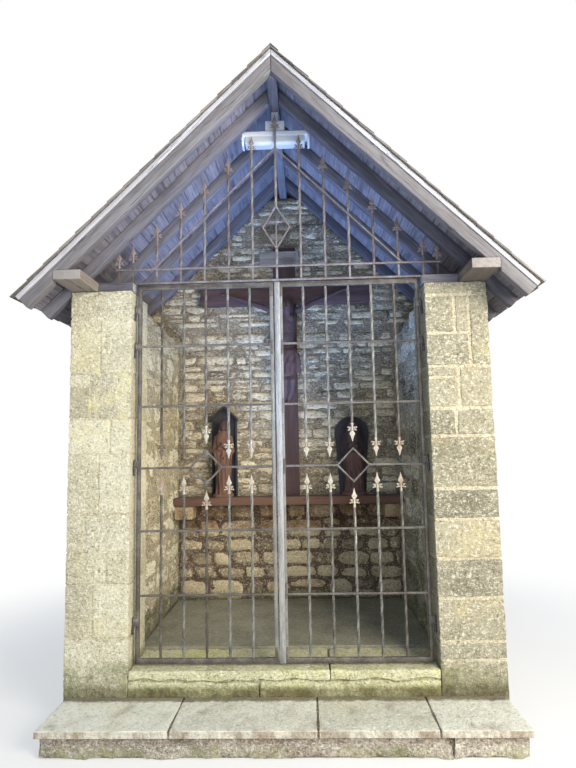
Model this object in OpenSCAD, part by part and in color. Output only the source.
// Wayside shrine: stone piers and walls, open timber roof, iron gates and carved figures

/* [Masonry] */
// Width across the outer faces of the two front piers
front_w = 2236; // [2000:2:2600]
// Clear width of the gateway between the piers
opening_w = 1570; // [1400:2:1700]
// Depth of each front pier from front to back
pier_d = 320; // [250:5:400]
// How far each pier stands in from the inner face of its side wall
pier_nib = 30; // [10:1:60]
// Height of the piers and side walls above the ground
wall_h = 2220; // [2100:5:2400]
// Clear depth inside, from the back of the piers to the back wall
inner_d = 976; // [800:2:1300]
// Thickness of the back wall
back_wall_t = 320; // [200:5:400]
// Height of the sill between the piers
sill_h = 250; // [200:5:290]
// Height of the floor inside
floor_h = 262; // [220:2:300]

/* [Step] */
// Height of the step in front
step_h = 125; // [90:1:160]
// How far the step reaches in front of the piers
step_d = 350; // [250:5:500]
// Width of the step
step_w = 2200; // [1800:10:2236]
// Thickness of the step's tread slabs
slab_t = 32; // [20:1:60]
// How far the tread slabs stand out over the riser
slab_nose = 12; // [0:1:30]
// Joint between two tread slabs
slab_joint = 6; // [3:1:12]
// Radius of the tread slabs' worn front edge
slab_round = 9; // [2:1:15]
// Places of the joints between the tread slabs, from the middle of the step
slab_joints = [-496, 167, 700];

/* [Roof] */
// Slope of the roof in degrees
pitch = 44.5; // [40:0.5:50]
// How far the rafters' undersides pass below the walls' top at the outer faces
rafter_seat = 18.7; // [5:0.1:40]
// Length of a rafter's underside along the slope
rafter_l = 1745; // [1650:5:1800]
// Depth of a rafter, square to the slope
rafter_deep = 62; // [50:1:90]
// Thickness of a rafter
rafter_t = 50; // [40:1:70]
// How far the front and back rafters stand out from the masonry
roof_out = 230; // [150:5:300]
// Distance from one inner rafter to the next
rafter_pitch = 350; // [300:5:400]
// Distance from the piers' face to the first inner rafter
first_rafter = 8; // [0:1:15]
// Thickness of the boards on the rafters
board_t = 24; // [15:1:35]
// Gap between the rafters and the boards, for the nailing
board_play = 0.3; // [0.1:0.1:2]
// Thickness of the wooden shingles with their battens
cover_t = 15; // [10:1:30]
// How far the shingles stand out over the eaves and the verges
cover_out = 20; // [10:1:40]
// Courses of shingles on each side of the roof, below the ridge course
courses_n = 16; // [10:1:20]
// How far the foot of a course of shingles stands over the one below it
course_lap = 6; // [3:0.5:8]
// Breadth of the ridge course on each side
ridge_course = 60; // [30:5:90]
// Width of the pale strip along each verge
verge_t = 24; // [15:1:40]
// How far the verge strip stands out in front of the rafter below it
verge_out = 6; // [2:1:15]
// Width of the ridge beam
ridge_w = 55; // [40:1:80]
// How far the ridge beam's underside lies below the meeting point of the rafters' undersides
ridge_drop = 10; // [5:1:40]
// Gap between the gable wall and the boards over it
gable_play = 0.3; // [0.1:0.1:2]
// Width of the wall plates
plate_w = 142; // [100:1:180]
// Height of the wall plates
plate_h = 51; // [40:1:80]
// How far the wall plates stand out past the front rafters
plate_out = 3; // [0:1:20]

/* [Gates] */
// Gap between a closed leaf and the pier beside it
hinge_gap = 15; // [12:0.5:20]
// Gap between a closed leaf and the sill
foot_gap = 7.5; // [5:0.5:20]
// Gap between a closed leaf and the grille's lower bar
head_gap = 7.5; // [5:0.5:20]
// Distance from the piers' face to the front of the leaves
gate_y = 67; // [50:1:120]
// Size of the stiles and of the top and bottom rails, front to back
frame_d = 20; // [18:1:30]
// Width of a stile
stile_w = 20; // [15:1:30]
// Height of the top and bottom rails
end_rail_h = 25; // [15:1:26]
// Height of a middle rail
rail_h = 12; // [8:1:20]
// Thickness of the square bars
bar = 12; // [10:0.5:13]
// Bars in one leaf
bars_n = 5; // [3:2:7]
// Gap between the two leaves
leaf_gap = 6; // [5:0.5:10]
// Place of the gap between the leaves, left of the middle
meeting_x = 20; // [10:1:30]
// Width of the flat strip on the right leaf
strip_w = 31; // [25:1:50]
// How far the strip lies on the right leaf's stile
strip_hold = 7; // [4:1:15]
// Thickness of the flat strip
strip_t = 6; // [3:0.5:8]
// Width of the diamond in each leaf
diamond_w = 184; // [150:2:200]
// Height of the diamond in each leaf
diamond_h = 190; // [150:2:220]
// Width of the bars of a leaf's diamond
diamond_band = 10; // [6:1:14]

/* [Spearheads] */
// Length of a spearhead
spear_l = 100; // [80:1:120]
// Width over a spearhead's side leaves
spear_w = 54; // [40:1:70]
// Thickness of a spearhead's blade
spear_t = 8; // [5:0.5:10]
// Distance from the middle of the fourth rail to the tip of a short spear
tip_gap = 42; // [30:1:60]
// The same at the middle bar, beyond the diamond
mid_tip_gap = 122; // [116:1:140]

/* [Hinges] */
// Heights of the two lower hinges above the lowest rail
low_hinges = [178, 992];
// Distances of the two upper hinges below the highest rail
high_hinges = [352, 147];
// Diameter of a hinge pin
pin_d = 8; // [6:0.5:9]
// Diameter of a knuckle
knuckle_d = 14; // [13:0.5:15]
// Height of a knuckle, and of the block below it
knuckle_h = 40; // [25:1:60]
// Distance of the pin from the leaf's front
pin_out = 7; // [7:0.5:9]
// How far the block that carries a pin reaches behind the pin's axis
block_back = 5; // [4.5:0.5:7]
// Running clearance around a pin
pin_play = 0.3; // [0.1:0.05:0.5]

/* [Grille over the gates] */
// Height of the blocks that carry the grille
bearer_h = 50; // [45:1:50]
// Depth of those blocks
bearer_d = 65; // [50:5:90]
// Depth of the grille's lower bar
low_bar_d = 20; // [15:1:30]
// Thickness of the grille's upper bar, triangle and diamond
flat_t = 8; // [5:1:10]
// Distance of the grille's uprights behind the gates' front
upright_set = 16; // [14:1:30]
// Half length of the grille's upper bar
high_bar_half = 900; // [890:2:940]
// Height of the upper bar's centre above the walls
high_bar_up = 135; // [120:1:170]
// Distance from one upright to the next
upright_pitch = 134; // [125:1:138]
// Place of the last upright on each side
end_upright_x = 883; // [860:1:888]
// Gap between the middle upright's tip and the ridge beam
top_tip_gap = 43; // [20:1:80]
// How much less steeply than the roof the tips fall
tip_ease = 0.05; // [0:0.01:0.08]
// Distance of the last uprights' tips below the boards
end_tip_gap = 52; // [35:1:70]
// Distance of the inner triangle's apex below the middle tip
triangle_drop = 205; // [160:5:290]
// Distance of the inner triangle's feet from the middle
triangle_x = 690; // [600:2:760]
// Width of the triangle's bars, measured level
triangle_w = 14; // [10:1:20]
// Height of the diamond's lowest corner above the upper bar
top_diamond_up = 94; // [75:1:120]
// Height of the diamond in the grille
top_diamond_h = 262; // [220:2:280]
// Width of the diamond in the grille
top_diamond_w = 160; // [120:2:200]
// Width of the bars of the grille's diamond
top_diamond_band = 9; // [6:1:14]
// Height of the collars above and below the grille's diamond
collar_h = 14; // [12:1:20]

/* [Altar wall] */
// Height of the shelf's top above the ground
shelf_z = 1006; // [900:2:1100]
// Thickness of the shelf beam
shelf_t = 55; // [40:1:80]
// Depth of the shelf beam
shelf_d = 190; // [150:2:240]
// Height of a corbel
corbel_h = 100; // [60:2:160]
// Width of a corbel
corbel_w = 135; // [80:1:200]
// How far a corbel stands back from the shelf's front
corbel_set = 24; // [0:2:60]
// Width of the cross timbers
cross_w = 170; // [140:2:200]
// Thickness of the cross timbers
cross_t = 60; // [50:2:80]
// Length of the cross arm
cross_arm_l = 1280; // [1100:5:1400]
// Height of the arm's underside above the shelf
cross_arm_z = 1424; // [1350:2:1450]
// How far the post rises above the arm
cross_head = 268; // [254:2:300]
// Width of the board above the arm
title_w = 304; // [250:2:400]
// How far that board's middle lies left of the post's
title_side = 38; // [0:2:60]
// Height of the board above the arm
title_h = 112; // [80:2:130]
// Thickness of the board above the arm
title_t = 16; // [10:1:25]
// Gap between the cross arm and the board above it
title_gap = 124; // [60:2:140]
// Height of the hanging figure, head to feet
corpus_h = 800; // [700:5:850]
// Height of the left standing figure
left_figure_h = 550; // [480:5:560]
// Width of the left standing figure
left_figure_w = 150; // [120:2:156]
// Distance of the left standing figure from the middle
left_figure_x = 468; // [440:2:500]
// Height of the right standing figure
right_figure_h = 545; // [460:5:560]
// Width of the right standing figure
right_figure_w = 182; // [140:2:190]
// Distance of the right standing figure from the middle
right_figure_x = 476; // [440:2:500]
// Distance of the standing figures' middle from the back wall
figure_out = 96; // [90:2:120]
// Thickness of the boards behind the standing figures
niche_t = 20; // [12:1:25]
// Width of the gabled board behind the left figure
left_niche_w = 186; // [180:2:220]
// Height of that board's eaves above the shelf
left_niche_eaves = 575; // [570:5:600]
// Height of its gable above the eaves
left_niche_gable = 97; // [60:1:120]
// Depth of the hood over the left figure
hood_d = 78; // [50:2:120]
// Thickness of the hood and of the posts below it
hood_t = 13; // [8:1:14]
// Depth of those posts
post_d = 42; // [30:2:60]
// Width of the round-headed board behind the right figure
right_niche_w = 256; // [220:2:280]
// Width of that board at its foot
right_niche_foot = 190; // [150:2:220]
// Height of that board
right_niche_h = 568; // [540:2:600]

/* [Lamp] */
// Length of the lamp
lamp_l = 395; // [300:5:400]
// Height of the lamp
lamp_h = 85; // [70:1:100]
// Depth of the lamp
lamp_d = 80; // [60:1:82]
// Distance from the piers' face to the middle of the lamp
lamp_y = 135; // [134:1:300]
// Distance of the lamp's top below the ridge beam
lamp_drop = 127; // [110:1:150]
// Height of the lamp's metal tray
lamp_tray_h = 34; // [25:1:45]
// How far the lamp's cover ends before the tray on each side
lamp_end = 28; // [15:1:40]
// Height of the wiring box on the lamp
lamp_box_h = 63; // [40:1:80]
// Width of the wiring box
lamp_box_w = 110; // [80:1:130]

/* [Hidden] */
stone = "#b5ab90";
rubble = "#9d9276";
old_wood = "#7d6a58";
red_wood = "#5e3b2c";
iron = "#5c5f66";
pale_iron = "#9b9d9e";
gilt = "#e2d5ad";
front_half = front_w / 2;
opening_half = opening_w / 2;
room_half = opening_half + pier_nib;
room_back = pier_d + inner_d;
back_y = room_back + back_wall_t;
cos_p = cos(pitch);
sin_p = sin(pitch);
board_from = rafter_deep + board_play;
cover_from = board_from + board_t;
cover_to = cover_from + cover_t;
// The origin is below the middle of the whole outline
roof_back = back_y + roof_out + cover_out;
mid_y = (roof_back - step_d) / 2;
// A twisted bar makes one turn between two rails, with this many steps in a quarter
quarter_steps = 3;
half_bar = bar / 2;
// Heights of the roof
under_apex = wall_h - rafter_seat + front_half * sin_p / cos_p;
ridge_z = under_apex - ridge_drop;
plate_x = front_half - plate_w;
lamp_z = ridge_z - lamp_drop;
cross_h = cross_arm_z + cross_w + cross_head;
// Heights and places of the gates: a leaf has six fields between its rails
fields = 6;
middle_rail = fields / 2;
bearer_top = wall_h + bearer_h;
gate_z = sill_h + foot_gap + end_rail_h / 2;
rail_pitch = (bearer_top - head_gap - end_rail_h / 2 - gate_z) / fields;
hinge_heights = concat(low_hinges, [for (h = high_hinges) fields * rail_pitch - h]);
bar_y = gate_y + frame_d - half_bar;
leaf_end = opening_half - hinge_gap;
strip_x = -meeting_x + leaf_gap / 2;
right_start = strip_x + strip_w - strip_hold;
left_start = meeting_x + leaf_gap / 2;
pin_x = opening_half - hinge_gap / 2 - 0.5;
pin_y = gate_y - pin_out;
pin_end = 6;
// Heights and places of the grille
overthrow_y = gate_y + upright_set;
flat_back = overthrow_y - half_bar;
high_bar_z = wall_h + high_bar_up;
top_tip_z = ridge_z - top_tip_gap;
triangle_z = top_tip_z - triangle_drop;
top_diamond_z = high_bar_z + top_diamond_up;
// How far the collars reach past the diamond's corners, and where the bars meet them
collar_out = 8;
collar_foot = top_diamond_z - collar_out;
collar_head = top_diamond_z + top_diamond_h + collar_out;
// Straight stretches of a bar: at its end, and to each side of the upper bar and the triangle
straight = 4;
cross_over = 8;
slope_over = 20;
eps = 0.01;

// Moves a piece from the gateway's own axes to the origin
module placed() {
    translate([0, -mid_y, 0]) children();
}

// Box from its lowest to its highest corner
module block(low, high) {
    translate(low) cube(high - low);
}

// Piece drawn from the front and drawn out from y0 back to y1
module drawn_back(y0, y1) {
    translate([0, y1, 0]) rotate([90, 0, 0]) linear_extrude(y1 - y0) children();
}

// Piece drawn from the right side and drawn out from x0 to x1
module drawn_across(x0, x1) {
    translate([x0, 0, 0]) rotate([90, 0, 90]) linear_extrude(x1 - x0) children();
}

// Box and its mirror image on the other side
module both_sides() {
    children();
    mirror([1, 0, 0]) children();
}

// Point on the roof's right side: distance down the slope and height off the rafters' underside
function slope_point(s, d) = [s * cos_p + d * sin_p, under_apex - s * sin_p + d * cos_p];

// Height of a layer of the roof above a place x
function roof_z(x, d) = under_apex + d / cos_p - abs(x) * sin_p / cos_p;

// Outline of a layer of the roof's right side, from x0 to the eaves
function roof_layer(x0, d0, d1, length) = [
    [x0, roof_z(x0, d0)], slope_point(length, d0), slope_point(length, d1), [x0, roof_z(x0, d1)]];

// Top edge of the shingles' right side, from the eaves to the ridge, one step for each course
function course_edge() = let (
    low = rafter_l + cover_out,
    high = ridge_course - cover_to * sin_p / cos_p,
    course = (low - high) / courses_n)
    [for (k = [0:courses_n - 1]) each [slope_point(low - k * course, cover_to),
        slope_point(low - (k + 1) * course, cover_to - course_lap)]];

// Solid through a row of rings that have the same number of points
module loft(rings) {
    n = len(rings[0]);
    m = len(rings);
    polyhedron(
        points = [for (r = rings) each r],
        faces = concat(
            [[for (i = [0:n - 1]) i]],
            [for (j = [0:m - 2], i = [0:n - 1]) [j * n + i, (j + 1) * n + i, (j + 1) * n + (i + 1) % n]],
            [for (j = [0:m - 2], i = [0:n - 1]) [j * n + i, (j + 1) * n + (i + 1) % n, j * n + (i + 1) % n]],
            [[for (i = [n - 1:-1:0]) (m - 1) * n + i]]));
}

// Quarter turns between two heights, and the angle that a bar has reached at zone k
function quarters(z0, z1) = max(1, round(4 * (z1 - z0) / rail_pitch));
function turned(zones, k) = k == 0 ? 0 : turned(zones, k - 1) + 90 * quarters(zones[k - 1][1], zones[k][0]);

// Heights and angles of a bar that is straight in each zone and twisted between two zones
function bar_rows(zones) = len(zones) == 1 ? [[zones[0][0], 0], [zones[0][1], 0]] : concat(
    [[zones[0][0], 0]],
    [for (k = [0:len(zones) - 2])
        let (z0 = zones[k][1], z1 = zones[k + 1][0], q = quarters(z0, z1))
        for (t = [0:q * quarter_steps])
        [z0 + (z1 - z0) * t / (q * quarter_steps), turned(zones, k) + 90 * t / quarter_steps]],
    [[zones[len(zones) - 1][1], turned(zones, len(zones) - 1)]]);

// Square bar at x, y that follows those rows
module twisted_bar(x, y, zones) {
    reach = half_bar * sqrt(2);
    loft([for (row = bar_rows(zones))
        [for (i = [0:3]) let (a = row[1] + 45 + 90 * i)
            [x + reach * cos(a), y + reach * sin(a), row[0]]]]);
}

// Cast spearhead with its foot at the origin, pointing up, seen from the front
module spearhead() {
    half = spear_w / 2;
    neck = spear_l * 0.1;
    outline = [
        [half * 0.06, spear_l], [half * 0.2, spear_l * 0.8], [half * 0.36, spear_l * 0.68],
        [half * 0.56, spear_l * 0.58], [half * 0.5, spear_l * 0.52], [half * 0.24, spear_l * 0.43],
        [half * 0.26, spear_l * 0.38], [half * 0.7, spear_l * 0.41], [half * 0.94, spear_l * 0.37],
        [half * 0.78, spear_l * 0.32], [half, spear_l * 0.25], [half * 0.86, spear_l * 0.18],
        [half * 0.56, spear_l * 0.2], [half * 0.32, spear_l * 0.25], [half * 0.24, neck]];
    drawn_back(-spear_t / 2, spear_t / 2)
        polygon(concat(outline, [for (i = [len(outline) - 1:-1:0]) [-outline[i][0], outline[i][1]]]));
    cylinder(h = neck + 2, r = half_bar + 2, $fn = 24);
}

// Same spearhead, pointing down, with its foot at the origin
module spearhead_down() {
    rotate([180, 0, 0]) spearhead();
}

// Flat four-cornered ring standing on its lowest corner
module diamond(width, height, thick, band) {
    across = band * sqrt(width * width + height * height) / height;
    up = across * height / width;
    drawn_back(-thick / 2, thick / 2) difference() {
        polygon([[0, 0], [width / 2, height / 2], [0, height], [-width / 2, height / 2]]);
        polygon([[0, up], [width / 2 - across, height / 2], [0, height - up],
            [-width / 2 + across, height / 2]]);
    }
}

// Masonry
module step_base() {
    color(rubble) placed() block(
        [-step_w / 2 + slab_nose, -step_d + slab_nose, 0],
        [step_w / 2 - slab_nose, 0, step_h - slab_t]);
}

// Tread slabs with a worn front edge, seen from the right side
module step_slabs() {
    ends = concat([-step_w / 2 - slab_joint / 2], slab_joints, [step_w / 2 + slab_joint / 2]);
    tread = concat([[0, step_h - slab_t], [0, step_h]],
        [for (a = [90:15:180]) [-step_d + slab_round + slab_round * cos(a),
            step_h - slab_round + slab_round * sin(a)]],
        [[-step_d, step_h - slab_t]]);
    color(stone) placed() for (i = [0:len(slab_joints)])
        drawn_across(ends[i] + slab_joint / 2, ends[i + 1] - slab_joint / 2) polygon(tread);
}

module sill() {
    color(stone) placed() block([-opening_half, 0, 0], [opening_half, pier_d, sill_h]);
}

module floor() {
    color("#877e6a") placed() block([-room_half, pier_d, 0], [room_half, room_back, floor_h]);
}

module pier() {
    color(stone) placed() block([opening_half, 0, 0], [front_half, pier_d, wall_h]);
}

module left_pier() {
    mirror([1, 0, 0]) pier();
}

module right_pier() {
    pier();
}

module side_wall() {
    color(rubble) placed() block([room_half, pier_d, 0], [front_half, room_back, wall_h]);
}

module left_wall() {
    mirror([1, 0, 0]) side_wall();
}

module right_wall() {
    side_wall();
}

module back_wall() {
    bed = board_from - gable_play;
    top_x = (under_apex + bed / cos_p - ridge_z) * cos_p / sin_p;
    half = [[front_half, 0], [front_half, wall_h], [plate_x, wall_h], [plate_x, wall_h + plate_h],
        [front_half, wall_h + plate_h], [front_half, roof_z(front_half, bed)], [top_x, ridge_z]];
    color(rubble) placed() drawn_back(room_back, back_y)
        polygon(concat(half, [for (i = [len(half) - 1:-1:0]) [-half[i][0], half[i][1]]]));
}

// Roof timbers
function rafter_places() = [for (i = [0:3]) first_rafter + i * rafter_pitch];
function roof_ends() = [-roof_out, back_y + roof_out - rafter_t];

module wall_plates() {
    color(old_wood) placed() both_sides()
        block([plate_x, -roof_out - plate_out, wall_h],
            [front_half, back_y + roof_out, wall_h + plate_h]);
}

module grille_bearers() {
    color(old_wood) placed() both_sides()
        block([opening_half, overthrow_y + half_bar - bearer_d, wall_h],
            [plate_x, overthrow_y + half_bar, bearer_top]);
}

module ridge_beam() {
    ridge_top = roof_z(ridge_w / 2, rafter_deep);
    color(old_wood) placed() block(
        [-ridge_w / 2, -roof_out + rafter_t, ridge_z],
        [ridge_w / 2, back_y + roof_out - rafter_t, ridge_top]);
}

// Rafter from x0 down to the eaves, cut out over the wall plate
module rafter(y, x0) {
    difference() {
        drawn_back(y, y + rafter_t) polygon(roof_layer(x0, 0, rafter_deep, rafter_l));
        block([plate_x - plate_w, y - 1, wall_h - plate_w],
            [front_half, y + rafter_t + 1, wall_h + plate_h]);
    }
}

module rafters() {
    color(old_wood) placed() both_sides() for (y = rafter_places()) rafter(y, ridge_w / 2);
}

module right_barges() {
    color(old_wood) placed() for (y = roof_ends()) rafter(y, 0);
}

module left_barges() {
    mirror([1, 0, 0]) right_barges();
}

module right_boards() {
    color(old_wood) placed() drawn_back(-roof_out - verge_out + verge_t,
        back_y + roof_out + verge_out - verge_t)
        polygon(roof_layer(0, board_from, cover_from, rafter_l));
}

module left_boards() {
    mirror([1, 0, 0]) right_boards();
}

module right_verges() {
    color("#a39583") placed() for (y = [-roof_out - verge_out, back_y + roof_out + verge_out - verge_t])
        drawn_back(y, y + verge_t) polygon(roof_layer(0, board_from, cover_from, rafter_l));
}

module left_verges() {
    mirror([1, 0, 0]) right_verges();
}

module right_covering() {
    ridge_end = ridge_course - cover_to * sin_p / cos_p;
    color("#6f665c") placed() drawn_back(-roof_out - cover_out, roof_back)
        polygon(concat([[0, roof_z(0, cover_from)], slope_point(rafter_l + cover_out, cover_from)],
            course_edge(), [slope_point(ridge_end, cover_to), [0, roof_z(0, cover_to)]]));
}

module left_covering() {
    mirror([1, 0, 0]) right_covering();
}

// Altar wall
module corbels() {
    color(stone) placed() both_sides()
        block([room_half - corbel_w, room_back - shelf_d + corbel_set, shelf_z - shelf_t - corbel_h],
            [room_half, room_back, shelf_z - shelf_t]);
}

module shelf_beam() {
    color(red_wood) placed() block([-room_half, room_back - shelf_d, shelf_z - shelf_t],
        [room_half, room_back, shelf_z]);
}

module cross_post() {
    color(red_wood) placed() difference() {
        block([-cross_w / 2, room_back - cross_t, shelf_z],
            [cross_w / 2, room_back, shelf_z + cross_h]);
        block([-cross_w, room_back - cross_t - 1, shelf_z + cross_arm_z],
            [cross_w, room_back - cross_t / 2, shelf_z + cross_arm_z + cross_w]);
    }
}

module cross_arm() {
    color(red_wood) placed() difference() {
        block([-cross_arm_l / 2, room_back - cross_t, shelf_z + cross_arm_z],
            [cross_arm_l / 2, room_back, shelf_z + cross_arm_z + cross_w]);
        block([-cross_w / 2, room_back - cross_t / 2, shelf_z + cross_arm_z - 1],
            [cross_w / 2, room_back + 1, shelf_z + cross_arm_z + cross_w + 1]);
    }
}

// Bare board shaped as a scroll, with a roll at each end
module title_board() {
    roll = title_t / 2 + 2;
    color("#8a7a62") placed()
        translate([-title_side, room_back - cross_t, shelf_z + cross_arm_z + cross_w + title_gap]) {
            block([-title_w / 2 + roll, -title_t, 0], [title_w / 2 - roll, 0, title_h]);
            for (x = [-title_w / 2 + roll, title_w / 2 - roll])
                translate([x, -title_t - 2 + roll, -3]) cylinder(h = title_h + 6, r = roll, $fn = 24);
        }
}

// Limb through a row of places, each with its radius
module limb(row) {
    for (i = [0:len(row) - 2]) hull() {
        translate(row[i][0]) sphere(r = row[i][1], $fn = 10);
        translate(row[i + 1][0]) sphere(r = row[i + 1][1], $fn = 10);
    }
}

// Solid through level ovals: each row is a centre and the half width and half depth there
module egg(rows, n) {
    loft([for (r = rows) [for (i = [0:n - 1]) let (a = 360 * i / n)
        [r[0][0] + r[1] * cos(a), r[0][1] + r[2] * sin(a), r[0][2]]]]);
}

// Carved body on the cross, drawn 800 high with the cross's front at y = 0
module corpus_limbs() {
    for (side = [-1, 1]) {
        ankle_y = side > 0 ? -49 : -29;
        // Legs, bent at the knees, which turn to the right
        limb([[[side * 38 + 4, -60, 326], 43], [[side * 28 + 20, -88, 180], 28],
            [[side * 24 + 16, -60, 109], 25], [[side * 8.5 + 6, ankle_y, 37], 16],
            [[side * 6 + 5, ankle_y - 13, 15], 13]]);
        // Arms out to the hands, the right one a little higher
        limb([[[side * 83, -51, 704], 27], [[side * 170, -42, 744], 23],
            [[side * 262, -34, 784 + side * 4], 18], [[side * 330, -28, 812 + side * 7], 19],
            [[side * 426, -17, 851 + side * 10], 12], [[side * 456, -13.3, 860 + side * 10], 13],
            [[side * 478, -12.3, 858 + side * 10], 8]]);
        // Hair over the shoulders
        limb([[[side * 34 + 14, -72, 748], 20], [[side * 40 + 12, -74, 700], 16],
            [[side * 44 + 10, -88, 664], 9]]);
    }
}

module corpus_trunk() {
    egg([[[4, -58, 300], 56, 42], [[4, -58, 340], 76, 52], [[4, -57, 376], 78, 53],
        [[2, -54, 424], 64, 45], [[0, -54, 470], 62, 43], [[-2, -58, 530], 76, 51],
        [[-3, -60, 600], 90, 56], [[-2, -58, 656], 95, 52], [[0, -54, 700], 88, 42],
        [[4, -53, 732], 54, 33], [[8, -58, 748], 36, 32]], 20);
    // Neck and bowed head
    limb([[[6, -58, 730], 30], [[14, -82, 736], 36]]);
    egg([[[14, -116, 654], 13, 12], [[14, -113, 672], 29, 30], [[15, -105, 700], 40, 43],
        [[16, -96, 734], 46, 52], [[16, -90, 764], 44, 50], [[15, -84, 787], 32, 38],
        [[14, -80, 800], 13, 17]], 16);
    // Beard
    limb([[[14, -126, 677], 18], [[14, -127, 649], 9]]);
}

// Cloth round the hips with its folds, and its end that hangs from the knot
module loincloth() {
    rows = [[212, 74, 50], [250, 82, 57], [300, 88, 62], [350, 89, 61], [388, 83, 57], [404, 72, 50]];
    loft([for (r = rows) [for (i = [0:35])
        let (a = 10 * i, fold = 1 + 0.05 * cos(9 * a + r[0] / 3) * (430 - r[0]) / 220,
            x = r[1] * fold * cos(a))
        [4 + x, -66 + r[2] * fold * sin(a), r[0] + x / 10]]]);
    limb([[[84, -82, 368], 20], [[98, -78, 318], 17], [[101, -71, 240], 12]]);
}

// The drawn figure is 800 high, and its feet hang 770 below the cross arm's underside
module corpus() {
    k = corpus_h / 800;
    color(red_wood) placed()
        translate([0, room_back - cross_t, shelf_z + cross_arm_z - 770 * k]) scale(k) {
            corpus_limbs();
            corpus_trunk();
            loincloth();
        }
}

// Half width and half depth of a robe at a share t of the height, as shares of the half breadth
robe_rows = [[0.04, 0.82, 0.62], [0.1, 0.79, 0.6], [0.18, 0.76, 0.57], [0.27, 0.75, 0.55],
    [0.36, 0.76, 0.54], [0.45, 0.79, 0.55], [0.54, 0.83, 0.56], [0.62, 0.88, 0.56], [0.69, 0.9, 0.55],
    [0.75, 0.86, 0.51], [0.8, 0.74, 0.46], [0.835, 0.52, 0.4], [0.86, 0.34, 0.34]];

// The robe's fullness at an angle from the front: folds below, and a mantle that opens over it
function robe_fold(a, t) = let (
    off = abs((a + 90 + 180) % 360 - 180),
    opening = 14 + 60 * max(0, 0.78 - t),
    under = off < opening && t < 0.8 ? 0.86 : 1)
    under * (1 + 0.05 * cos(9 * a + 130 * t) * (1 - t));

// Standing figure in a robe and mantle with its feet at the origin, facing the front
module robed_figure(height, breadth, hooded) {
    w = breadth / 2;
    h = height;
    head_x = 0.05 * h;
    loft([for (r = robe_rows) [for (i = [0:39]) let (a = 9 * i, f = robe_fold(a, r[0]))
        [w * r[1] * f * cos(a), w * r[2] * f * sin(a), h * r[0]]]]);
    // Base that the figure is carved on
    translate([0, -0.02 * w, 0]) linear_extrude(h * 0.04) polygon([[-0.95 * w, 0.6 * w],
        [-0.95 * w, -0.4 * w], [-0.6 * w, -0.68 * w], [0.6 * w, -0.68 * w], [0.95 * w, -0.4 * w],
        [0.95 * w, 0.6 * w]]);
    // Sleeves and hands
    for (side = [-1, 1]) {
        limb([[[side * 0.66 * w, -0.05 * w, 0.74 * h], 0.2 * w],
            [[side * 0.7 * w, -0.26 * w, 0.6 * h], 0.19 * w],
            [[side * 0.3 * w, -0.56 * w, 0.63 * h], 0.15 * w]]);
        limb([[[side * 0.3 * w, -0.58 * w, 0.635 * h], 0.1 * w],
            [[side * 0.06 * w, -0.7 * w, 0.665 * h], 0.085 * w],
            [[side * 0.045 * w, -0.68 * w, 0.72 * h], 0.05 * w]]);
        // Toes below the hem
        limb([[[side * 0.24 * w, -0.44 * w, 0.052 * h], 0.09 * w],
            [[side * 0.26 * w, -0.6 * w, 0.046 * h], 0.07 * w]]);
    }
    // Neck and head
    limb([[[0, 0, 0.85 * h], 0.034 * h], [[0, -0.004 * h, 0.885 * h], 0.034 * h]]);
    egg([[[0, -0.024 * h, 0.862 * h], 0.3 * head_x, 0.3 * head_x],
        [[0, -0.02 * h, 0.875 * h], 0.62 * head_x, 0.68 * head_x],
        [[0, -0.014 * h, 0.9 * h], 0.84 * head_x, 0.98 * head_x],
        [[0, -0.008 * h, 0.935 * h], 0.96 * head_x, 1.14 * head_x],
        [[0, -0.004 * h, 0.965 * h], 0.86 * head_x, 1.05 * head_x],
        [[0, 0, 0.985 * h], 0.5 * head_x, 0.64 * head_x]], 16);
    if (hooded) hood(w, h);
    else hair(h);
}

// Mantle that runs from the head over the shoulders and hangs down at the elbows
module hood(w, h) {
    egg([[[0, 0.02 * h, 0.5 * h], 0.86 * w, 0.38 * w], [[0, 0.02 * h, 0.56 * h], 0.97 * w, 0.42 * w],
        [[0, 0.02 * h, 0.64 * h], 0.96 * w, 0.44 * w], [[0, 0.022 * h, 0.72 * h], 0.88 * w, 0.43 * w],
        [[0, 0.026 * h, 0.78 * h], 0.76 * w, 0.42 * w], [[0, 0.026 * h, 0.83 * h], 0.6 * w, 0.4 * w],
        [[0, 0.02 * h, 0.88 * h], 0.46 * w, 0.4 * w], [[0, 0.016 * h, 0.93 * h], 0.41 * w, 0.4 * w],
        [[0, 0.012 * h, 0.97 * h], 0.33 * w, 0.35 * w], [[0, 0.01 * h, h], 0.14 * w, 0.16 * w]], 20);
}

// Hair over the crown and down to the nape
module hair(h) {
    egg([[[0, 0.03 * h, 0.84 * h], 0.042 * h, 0.026 * h], [[0, 0.022 * h, 0.87 * h], 0.054 * h, 0.034 * h],
        [[0, 0.016 * h, 0.91 * h], 0.058 * h, 0.046 * h], [[0, 0.012 * h, 0.95 * h], 0.056 * h, 0.052 * h],
        [[0, 0.006 * h, 0.982 * h], 0.044 * h, 0.05 * h], [[0, 0.002 * h, h], 0.018 * h, 0.022 * h]], 18);
}

module left_figure() {
    color(red_wood) placed() translate([-left_figure_x, room_back - figure_out, shelf_z])
        robed_figure(left_figure_h, left_figure_w, false);
}

module right_figure() {
    color(red_wood) placed() translate([right_figure_x, room_back - figure_out, shelf_z])
        robed_figure(right_figure_h, right_figure_w, true);
}

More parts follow.
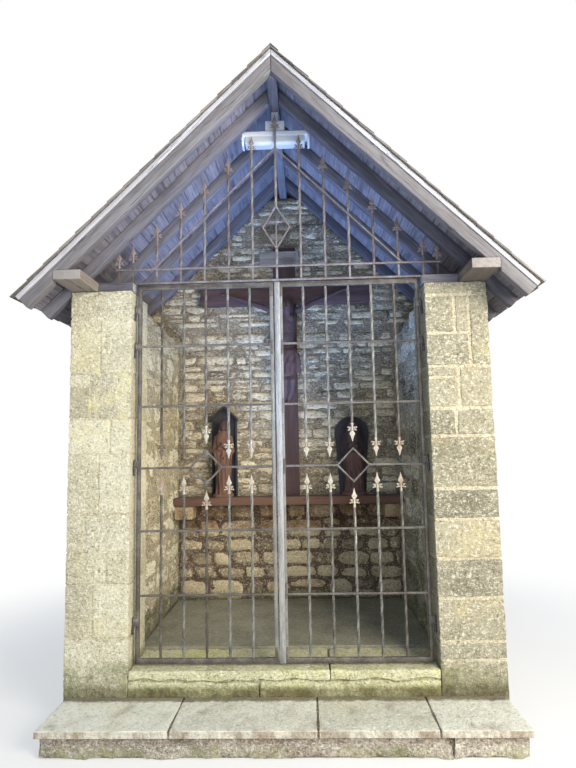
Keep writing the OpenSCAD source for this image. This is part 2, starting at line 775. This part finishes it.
// Gabled board behind the left figure, with two posts and a hood over it
module left_niche() {
    half = left_niche_w / 2;
    peak = left_niche_eaves + left_niche_gable;
    slope = left_niche_gable / half;
    face = [[-half, 0], [half, 0], [half, left_niche_eaves], [0, peak], [-half, left_niche_eaves]];
    color("#4a2c20") placed() translate([-left_figure_x, 0, shelf_z]) union() {
        drawn_back(room_back - niche_t, room_back) polygon(face);
        both_sides() block([half - hood_t, room_back - post_d, 0],
            [half, room_back - niche_t + eps, left_niche_eaves]);
        drawn_back(room_back - hood_d, room_back - niche_t + eps) difference() {
            polygon([[-half - hood_t, left_niche_eaves - hood_t * slope], [0, peak],
                [half + hood_t, left_niche_eaves - hood_t * slope],
                [half + hood_t, left_niche_eaves - hood_t * (slope + 1)], [0, peak - hood_t * 1.4],
                [-half - hood_t, left_niche_eaves - hood_t * (slope + 1)]]);
        }
    }
}

// Dark round-headed board behind the right figure
module right_niche() {
    r = right_niche_w / 2;
    z = right_niche_h - r;
    color("#33241f") placed() translate([right_figure_x, 0, shelf_z])
        drawn_back(room_back - niche_t, room_back) polygon(concat(
            [[-right_niche_foot / 2, 0], [right_niche_foot / 2, 0]],
            [for (i = [0:36]) let (a = -20 + 220 * i / 36) [r * cos(a), z + r * sin(a)]]));
}

// Lamp under the ridge beam, with the box that holds it on a short drop
module lamp_mount() {
    box_d = 50;
    drop_w = 40;
    drop_d = 16;
    color("#c9cdd2") placed() {
        block([-lamp_box_w / 2, lamp_y - box_d / 2, lamp_z],
            [lamp_box_w / 2, lamp_y + box_d / 2, lamp_z + lamp_box_h]);
        block([-drop_w / 2, lamp_y - drop_d / 2, lamp_z], [drop_w / 2, lamp_y + drop_d / 2, ridge_z]);
    }
}

// Tray with bevelled top edges, a cap at each end and two knobs on the left one
module lamp_body() {
    half_d = lamp_d / 2;
    bevel = 9;
    cap = 12;
    knob = 7;
    tray = [[-half_d + bevel, 0], [-half_d, -bevel], [-half_d, -lamp_tray_h], [half_d, -lamp_tray_h],
        [half_d, -bevel], [half_d - bevel, 0]];
    color("#d8dadd") placed() translate([0, lamp_y, lamp_z]) {
        drawn_across(-lamp_l / 2 + knob, lamp_l / 2) polygon(tray);
        for (x = [-lamp_l / 2 + knob, lamp_l / 2 - cap]) drawn_across(x, x + cap)
            polygon([[-half_d, -bevel], [-half_d, -lamp_h * 0.8], [-half_d + bevel, -lamp_h],
                [half_d - bevel, -lamp_h], [half_d, -lamp_h * 0.8], [half_d, -bevel]]);
        for (y = [-half_d / 2, half_d / 2]) translate([-lamp_l / 2, y, -lamp_tray_h])
            rotate([0, 90, 0]) cylinder(h = knob + eps, r = knob + 2, $fn = 24);
    }
}

module lamp_cover() {
    half_d = lamp_d / 2 - 4;
    bevel = 12;
    low = -lamp_h + 2;
    color("#eceff0") placed() translate([0, lamp_y, lamp_z])
        drawn_across(-lamp_l / 2 + lamp_end, lamp_l / 2 - lamp_end)
            polygon([[-half_d, -lamp_tray_h], [-half_d, low + bevel], [-half_d + bevel, low],
                [half_d - bevel, low], [half_d, low + bevel], [half_d, -lamp_tray_h]]);
}

// Grille over the gates
function upright_places() = concat([for (k = [-6:6]) k * upright_pitch], [-end_upright_x, end_upright_x]);
function tip_z(x) = abs(x) > 6.5 * upright_pitch
    ? roof_z(x, rafter_deep) - end_tip_gap
    : top_tip_z - abs(x) * (sin_p / cos_p - tip_ease);
function triangle_at(x) = triangle_z - abs(x) * (triangle_z - high_bar_z) / triangle_x;

module overthrow_frame() {
    side = triangle_w / 2;
    color(iron) placed() {
        block([-plate_x, overthrow_y + half_bar - low_bar_d, bearer_top],
            [plate_x, overthrow_y + half_bar, bearer_top + rail_h]);
        block([-high_bar_half, flat_back - flat_t, high_bar_z - rail_h / 2],
            [high_bar_half, flat_back, high_bar_z + rail_h / 2]);
        drawn_back(flat_back - flat_t, flat_back) difference() {
            polygon([[-triangle_x - side, high_bar_z], [triangle_x + side, high_bar_z],
                [0, triangle_z + side]]);
            polygon([[-triangle_x + side, high_bar_z - 1], [triangle_x - side, high_bar_z - 1],
                [0, triangle_z - side]]);
        }
    }
    top_ornament();
}

// Diamond with a small cross in it, and a collar at its lowest and highest corners
module top_ornament() {
    half_t = flat_t / 2;
    cross_foot = 5;
    cross_top = top_diamond_h * 0.74;
    cross_reach = top_diamond_w * 0.22;
    color(iron) placed() translate([0, overthrow_y, top_diamond_z]) {
        diamond(top_diamond_w, top_diamond_h, flat_t, top_diamond_band);
        for (z = [-collar_out, top_diamond_h + collar_out - collar_h])
            translate([0, 0, z]) cylinder(h = collar_h, r = half_bar + 3, $fn = 24);
        block([-half_t, -half_t, cross_foot], [half_t, half_t, cross_top]);
        block([-cross_reach, -half_t, top_diamond_h * 0.6],
            [cross_reach, half_t, top_diamond_h * 0.6 + flat_t]);
    }
}

// Straight stretches of one upright: at its foot, at the upper bar, at the triangle and at its tip
function upright_zones(x) = let (
    foot = bearer_top + rail_h,
    top = tip_z(x) - spear_l,
    cross = triangle_at(x),
    near = cross - slope_over < high_bar_z + 60,
    low_end = near ? cross + slope_over : high_bar_z + cross_over)
    abs(x) > triangle_x
        ? [[foot, top]]
        : near
            ? [[foot, low_end], [top - straight, top]]
            : [[foot, low_end], [cross - slope_over, cross + slope_over], [top - straight, top]];

module overthrow_bars() {
    color(iron) placed() {
        for (x = upright_places()) if (x != 0) twisted_bar(x, overthrow_y, upright_zones(x));
        twisted_bar(0, overthrow_y, [[bearer_top + rail_h, high_bar_z + cross_over],
            [collar_foot - straight, collar_foot]]);
        twisted_bar(0, overthrow_y, [[collar_head, collar_head + straight],
            [triangle_z - slope_over, top_tip_z - spear_l]]);
    }
}

module overthrow_spears() {
    color(iron) placed() for (x = upright_places())
        translate([x, overthrow_y, tip_z(x) - spear_l]) spearhead();
}

// Hinges
module pintles() {
    color(iron) placed() both_sides() for (h = hinge_heights) translate([0, 0, gate_z + h]) {
        block([pin_x - pin_d / 4, pin_y - knuckle_d / 2, -knuckle_h],
            [opening_half, pin_y + block_back, -pin_play]);
        translate([pin_x, pin_y, -knuckle_h / 2])
            cylinder(h = knuckle_h * 1.5 + pin_end, d = pin_d, $fn = 32);
    }
}

// Gate leaf on the right, from x0 at the meeting stile to x1 at the hinge stile
module leaf_frame(x0, x1) {
    z_low = gate_z - end_rail_h / 2;
    z_high = gate_z + fields * rail_pitch + end_rail_h / 2;
    middle = bar_x(x0, x1, (bars_n + 1) / 2);
    middle_z = gate_z + middle_rail * rail_pitch;
    diamond_hold = 8;
    difference() {
        union() {
            block([x0, gate_y, z_low], [x0 + stile_w, gate_y + frame_d, z_high]);
            block([x1 - stile_w, gate_y, z_low], [x1, gate_y + frame_d, z_high]);
            for (z = [z_low, z_high - end_rail_h])
                block([x0, gate_y, z], [x1, gate_y + frame_d, z + end_rail_h]);
            for (k = [1, 2, 4, 5])
                block([x0, gate_y, gate_z + k * rail_pitch - rail_h / 2],
                    [x1, bar_y - half_bar, gate_z + k * rail_pitch + rail_h / 2]);
            for (span = [[x0, middle - diamond_w / 2 + diamond_hold],
                [middle + diamond_w / 2 - diamond_hold, x1]])
                block([span[0], gate_y, middle_z - rail_h / 2],
                    [span[1], bar_y - half_bar, middle_z + rail_h / 2]);
            translate([middle, gate_y + flat_t / 2, middle_z - diamond_h / 2])
                diamond(diamond_w, diamond_h, flat_t, diamond_band);
            for (h = hinge_heights) translate([0, 0, gate_z + h]) {
                translate([pin_x, pin_y, 0]) cylinder(h = knuckle_h, d = knuckle_d, $fn = 48);
                block([x1 - stile_w, pin_y, 0], [pin_x, gate_y + eps, knuckle_h]);
            }
        }
        for (h = hinge_heights) translate([pin_x, pin_y, gate_z + h - 1])
            cylinder(h = knuckle_h + 2, d = pin_d + 2 * pin_play, $fn = 32);
    }
}

// Two mending plates on the corners of the left leaf's diamond
module mending_plates(x0, x1) {
    plate = [26, 4, 30];
    middle = bar_x(x0, x1, (bars_n + 1) / 2);
    for (z = [-diamond_h / 2 + 2, diamond_h / 2 - plate[2] - 2])
        translate([middle - plate[0] / 2, gate_y - plate[1] + eps, gate_z + middle_rail * rail_pitch + z])
            cube(plate);
}

// Middle of bar number i between the stiles' centres
function bar_x(x0, x1, i) = x0 + stile_w / 2 + (x1 - x0 - stile_w) * i / (bars_n + 1);

// Distance of a bar's spear tip from the fourth rail
function bar_tip(i) = i == (bars_n + 1) / 2 ? mid_tip_gap : tip_gap;

// Bars, straight for a short length at their ends and where they cross a rail
module leaf_bars(x0, x1) {
    middle_z = gate_z + middle_rail * rail_pitch;
    stop = rail_h / 2 + straight / 2;
    bottom = gate_z + end_rail_h / 2;
    top = gate_z + fields * rail_pitch - end_rail_h / 2;
    rails = [for (k = [1, 2, 4, 5]) [gate_z + k * rail_pitch - stop, gate_z + k * rail_pitch + stop]];
    for (i = [1:bars_n]) {
        foot_low = middle_z - bar_tip(i) - spear_l;
        foot_high = middle_z + bar_tip(i) + spear_l;
        twisted_bar(bar_x(x0, x1, i), bar_y,
            [[bottom, bottom + straight], rails[0], rails[1], [foot_low - straight, foot_low]]);
        twisted_bar(bar_x(x0, x1, i), bar_y,
            [[foot_high, foot_high + straight], rails[2], rails[3], [top - straight, top]]);
    }
}

module leaf_spears(x0, x1) {
    middle_z = gate_z + middle_rail * rail_pitch;
    for (i = [1:bars_n]) {
        translate([bar_x(x0, x1, i), bar_y, middle_z - bar_tip(i) - spear_l]) spearhead();
        translate([bar_x(x0, x1, i), bar_y, middle_z + bar_tip(i) + spear_l]) spearhead_down();
    }
}

module right_leaf_frame() {
    color(iron) placed() leaf_frame(right_start, leaf_end);
}

module right_leaf_bars() {
    color(iron) placed() leaf_bars(right_start, leaf_end);
}

module right_leaf_spears() {
    color(gilt) placed() leaf_spears(right_start, leaf_end);
}

module left_leaf_frame() {
    color(iron) placed() mirror([1, 0, 0]) {
        leaf_frame(left_start, leaf_end);
        mending_plates(left_start, leaf_end);
    }
}

module left_leaf_bars() {
    color(iron) placed() mirror([1, 0, 0]) leaf_bars(left_start, leaf_end);
}

module left_leaf_spears() {
    color(gilt) placed() mirror([1, 0, 0]) leaf_spears(left_start, leaf_end);
}

module meeting_strip() {
    color(pale_iron) placed() block([strip_x, gate_y - strip_t, gate_z - end_rail_h / 2],
        [strip_x + strip_w, gate_y, gate_z + fields * rail_pitch + end_rail_h / 2]);
}

step_base();
step_slabs();
sill();
floor();
left_pier();
right_pier();
left_wall();
right_wall();
back_wall();
corbels();
shelf_beam();
cross_post();
cross_arm();
title_board();
corpus();
left_niche();
left_figure();
right_niche();
right_figure();
wall_plates();
grille_bearers();
ridge_beam();
rafters();
left_barges();
right_barges();
left_boards();
right_boards();
left_verges();
right_verges();
left_covering();
right_covering();
lamp_mount();
lamp_body();
lamp_cover();
overthrow_frame();
overthrow_bars();
overthrow_spears();
pintles();
left_leaf_frame();
left_leaf_bars();
left_leaf_spears();
right_leaf_frame();
right_leaf_bars();
right_leaf_spears();
meeting_strip();
